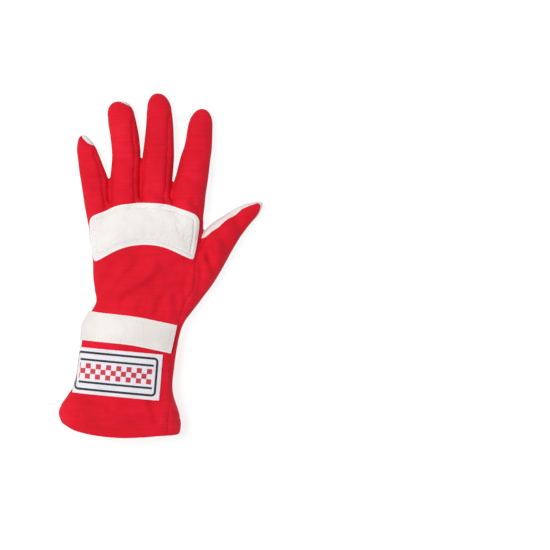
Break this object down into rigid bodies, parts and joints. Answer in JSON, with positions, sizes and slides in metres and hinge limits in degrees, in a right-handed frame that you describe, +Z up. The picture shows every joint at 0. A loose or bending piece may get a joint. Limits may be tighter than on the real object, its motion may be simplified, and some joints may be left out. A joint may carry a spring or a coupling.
{
  "type": "racing glove",
  "caption": "Left-hand racing glove with a red knit back, pale leather palm, padded knuckle patch, wrist strap and flared gauntlet.",
  "frame": {"origin": "middle of the glove's footprint, on the surface that it lies on", "axes": "+Y from the hem to the fingertips, +X towards the thumb, +Z up out of the back of the hand"},
  "size_m": [0.1786, 0.3044, 0.04],
  "materials": {
    "red_knit": "matte double knit",
    "pale_leather": "fine suede",
    "strap_leather": "smooth leather",
    "label_weave": "woven"
  },
  "bodies": {
    "root": {"back_panel": "red_knit", "little_back": "red_knit", "ring_back": "red_knit", "middle_back": "red_knit", "index_back": "red_knit", "palm_panel": "pale_leather", "little_front": "pale_leather", "ring_front": "pale_leather", "middle_front": "pale_leather", "index_front": "pale_leather", "thumb_front": "pale_leather", "thumb_panel": "red_knit", "cuff_panel": "red_knit", "fourchette_little_ring": "red_knit", "fourchette_ring_middle": "red_knit", "fourchette_middle_index": "red_knit", "knuckle_patch": "pale_leather", "wrist_strap": "strap_leather", "label_patch": "label_weave"}
  },
  "joints": []
}
